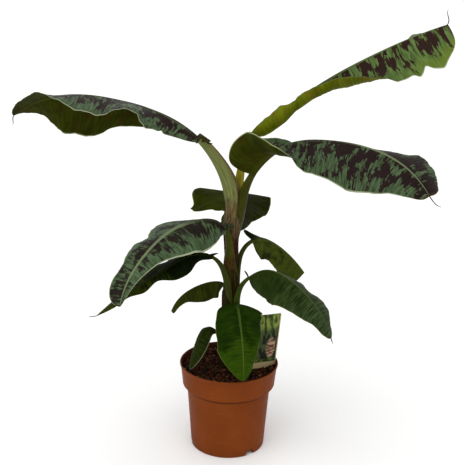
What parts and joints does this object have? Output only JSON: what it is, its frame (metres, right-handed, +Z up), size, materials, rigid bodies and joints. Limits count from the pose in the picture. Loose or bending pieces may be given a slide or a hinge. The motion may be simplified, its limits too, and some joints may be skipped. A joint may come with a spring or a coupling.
{
  "type": "potted banana plant",
  "caption": "Potted banana plant: a sheathed false stem with long arching leaf stalks and broad drooping blades, in a plain round plastic pot with compost and a label.",
  "frame": {"origin": "centre of the pot's flat underside", "axes": "+Z up along the stem, +Y away from the front, +X to the right seen from the front"},
  "size_m": [0.8495, 0.5164, 0.91],
  "materials": {
    "pot_plastic": "satin moulded plastic",
    "label_card": "gloss printed plastic card",
    "compost": "damp bark compost",
    "stem": "papery overlapping sheaths",
    "stalk": "satin green",
    "leaf_roll": "satin leaf underside",
    "leaf_mottled": "satin leaf, green blotched with dark maroon",
    "leaf_plain": "satin leaf, plain green"
  },
  "bodies": {
    "root": {"pot": "pot_plastic", "label": "label_card", "compost": "compost", "stem": "stem", "stalk_1": "stalk", "stalk_2": "stalk", "stalk_3": "stalk", "stalk_4": "stalk", "stalk_5": "stalk", "stalk_6": "stalk", "stalk_7": "stalk", "stalk_8": "stalk", "stalk_9": "stalk", "stalk_10": "stalk", "stalk_11": "stalk", "roll_2": "leaf_roll", "blade_1": "leaf_mottled", "blade_2": "leaf_mottled", "blade_3": "leaf_mottled", "blade_4": "leaf_mottled", "blade_5": "leaf_mottled", "blade_6": "leaf_plain", "blade_7": "leaf_plain", "blade_8": "leaf_plain", "blade_9": "leaf_plain", "blade_10": "leaf_plain", "blade_11": "leaf_plain"}
  },
  "joints": []
}
